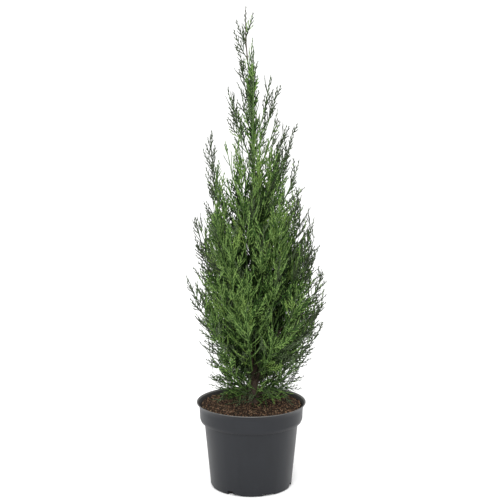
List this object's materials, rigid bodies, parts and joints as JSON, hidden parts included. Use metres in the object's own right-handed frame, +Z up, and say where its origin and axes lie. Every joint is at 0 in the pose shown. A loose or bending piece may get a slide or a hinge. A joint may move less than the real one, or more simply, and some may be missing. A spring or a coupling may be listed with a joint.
{
  "type": "potted leyland cypress",
  "caption": "Young leyland cypress in a round nursery pot: a slim upright evergreen whose steep plumes of flat scale-leaved sprays stand round a straight trunk.",
  "frame": {"origin": "centre of the pot's flat underside", "axes": "+Z up along the pot's axis, -Y towards the picture's viewpoint, +X to its right"},
  "size_m": [0.2443, 0.2391, 0.829],
  "materials": {
    "pot": "moulded anthracite polypropylene, semi-matte",
    "soil": "loose dark brown peat, dull",
    "bark": "thin reddish brown bark, finely furrowed",
    "foliage": "mid green scale leaves with a slight waxy sheen"
  },
  "bodies": {
    "root": {"pot": "pot", "soil": "soil", "trunk": "bark", "low_1_bough": "bark", "low_2_bough": "bark", "low_3_bough": "bark", "low_4_bough": "bark", "low_5_bough": "bark", "low_6_bough": "bark", "low_7_bough": "bark", "low_8_bough": "bark", "low_9_bough": "bark", "main_1_bough": "bark", "main_2_bough": "bark", "main_3_bough": "bark", "main_4_bough": "bark", "main_5_bough": "bark", "main_6_bough": "bark", "main_7_bough": "bark", "main_8_bough": "bark", "main_9_bough": "bark", "main_10_bough": "bark", "low_1_foliage": "foliage", "low_2_foliage": "foliage", "low_3_foliage": "foliage", "low_4_foliage": "foliage", "low_5_foliage": "foliage", "low_6_foliage": "foliage", "low_7_foliage": "foliage", "low_8_foliage": "foliage", "low_9_foliage": "foliage", "main_1_foliage": "foliage", "main_2_foliage": "foliage", "main_3_foliage": "foliage", "main_4_foliage": "foliage", "main_5_foliage": "foliage", "main_6_foliage": "foliage", "main_7_foliage": "foliage", "main_8_foliage": "foliage", "main_9_foliage": "foliage", "main_10_foliage": "foliage", "skirt_1_foliage": "foliage", "skirt_2_foliage": "foliage", "skirt_3_foliage": "foliage", "skirt_4_foliage": "foliage", "skirt_5_foliage": "foliage", "skirt_6_foliage": "foliage", "skirt_7_foliage": "foliage", "middle_1_foliage": "foliage", "middle_2_foliage": "foliage", "middle_3_foliage": "foliage", "middle_4_foliage": "foliage", "middle_5_foliage": "foliage", "middle_6_foliage": "foliage", "upper_1_foliage": "foliage", "upper_2_foliage": "foliage", "upper_3_foliage": "foliage", "upper_4_foliage": "foliage", "upper_5_foliage": "foliage", "leader_foliage": "foliage"}
  },
  "joints": []
}
